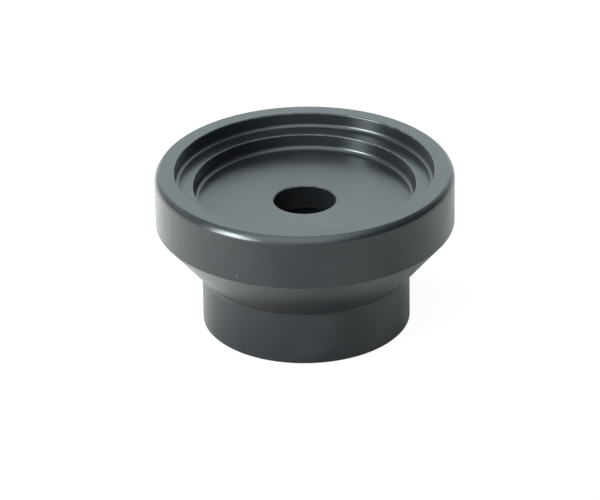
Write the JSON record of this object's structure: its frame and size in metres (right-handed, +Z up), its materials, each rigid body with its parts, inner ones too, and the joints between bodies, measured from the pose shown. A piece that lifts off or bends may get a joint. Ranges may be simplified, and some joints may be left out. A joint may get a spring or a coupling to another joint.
{
  "type": "laser collimator",
  "caption": "Flanged black collimator on a two-inch barrel: stepped round recess with a central beam aperture, tiltable laser inside and a screwed battery cap underneath.",
  "frame": {"origin": "centre of the barrel's end face, on which the collimator stands", "axes": "+Z up the optical axis, from the barrel end to the recessed face that the beam leaves; +X towards tilt screw x"},
  "size_m": [0.0728, 0.0728, 0.0397],
  "materials": {
    "anodised_black": "satin black anodised",
    "anodised_plate": "satin black anodised, faced",
    "anodised_cap": "satin black anodised",
    "sleeve_plastic": "moulded",
    "cell_steel": "pressed stainless",
    "o_ring_rubber": "matt",
    "contact_bronze": "sprung phosphor bronze",
    "steel": "turned",
    "ball_steel": "polished",
    "screw_steel": "black oxide",
    "carrier_aluminium": "turned, bare",
    "spring_steel": "drawn wire",
    "laser_brass": "turned",
    "diode_gold": "gold plated",
    "lens_glass": "polished",
    "stop_black": "matt",
    "board_green": "solder mask",
    "chip_black": "moulded"
  },
  "bodies": {
    "housing": {"housing": "anodised_black", "rear_plate": "anodised_plate", "battery_sleeve": "sleeve_plastic", "pivot_post": "steel", "return_springs": "spring_steel"},
    "cell": {"coin_cell": "cell_steel"},
    "cap": {"battery_cap": "anodised_cap", "cap_o_ring": "o_ring_rubber", "cap_contact": "contact_bronze"},
    "pivot": {"pivot_ball": "ball_steel"},
    "carrier": {"tilt_carrier": "carrier_aluminium", "carrier_set_screw": "screw_steel", "laser_body": "laser_brass", "laser_diode": "diode_gold", "lens_spring": "spring_steel", "lens_barrel": "anodised_cap", "collimating_lens": "lens_glass", "aperture_stop": "stop_black", "driver_board": "board_green", "driver_chip": "chip_black", "driver_resistor": "chip_black", "contact_spring": "contact_bronze"},
    "ball_x": {"tilt_ball_x": "ball_steel"},
    "screw_x": {"tilt_screw_x": "screw_steel"},
    "ball_y": {"tilt_ball_y": "ball_steel"},
    "screw_y": {"tilt_screw_y": "screw_steel"}
  },
  "joints": [
    {"name": "cap_travel", "type": "slide", "parent": "housing", "child": "cell", "axis": [0, 0, -1], "range_m": [0, 0.00225], "deforming": ["contact_spring"]},
    {"name": "cap_turn", "type": "hinge", "parent": "cell", "child": "cap", "pos_m": [0, 0, 0.0045], "axis": [0, 0, -1], "range_deg": [0, 1080]},
    {"name": "tilt_about_y", "type": "hinge", "parent": "housing", "child": "pivot", "pos_m": [-0.0117, -0.0117, 0.0124], "axis": [0, -1, 0], "range_deg": [-1, 1], "deforming": ["return_springs"]},
    {"name": "tilt_about_x", "type": "hinge", "parent": "pivot", "child": "carrier", "pos_m": [-0.0117, -0.0117, 0.0124], "axis": [1, 0, 0], "range_deg": [-1, 1]},
    {"name": "screw_x_travel", "type": "slide", "parent": "housing", "child": "ball_x", "axis": [0, 0, 1], "range_m": [-0.00041, 0.00041]},
    {"name": "screw_x_turn", "type": "hinge", "parent": "ball_x", "child": "screw_x", "pos_m": [0.0117, -0.0117, 0.007], "axis": [0, 0, 1], "range_deg": [-295, 295]},
    {"name": "screw_y_travel", "type": "slide", "parent": "housing", "child": "ball_y", "axis": [0, 0, 1], "range_m": [-0.00041, 0.00041]},
    {"name": "screw_y_turn", "type": "hinge", "parent": "ball_y", "child": "screw_y", "pos_m": [-0.0117, 0.0117, 0.007], "axis": [0, 0, 1], "range_deg": [-295, 295]}
  ],
  "couplings": [
    {"joint": "cap_travel", "follows": "cap_turn", "m_per_rad": 0.00011937},
    {"joint": "screw_x_travel", "follows": "tilt_about_y", "m_per_rad": 0.0234},
    {"joint": "screw_x_turn", "follows": "tilt_about_y", "ratio": 294.05},
    {"joint": "screw_y_travel", "follows": "tilt_about_x", "m_per_rad": 0.0234},
    {"joint": "screw_y_turn", "follows": "tilt_about_x", "ratio": 294.05}
  ]
}
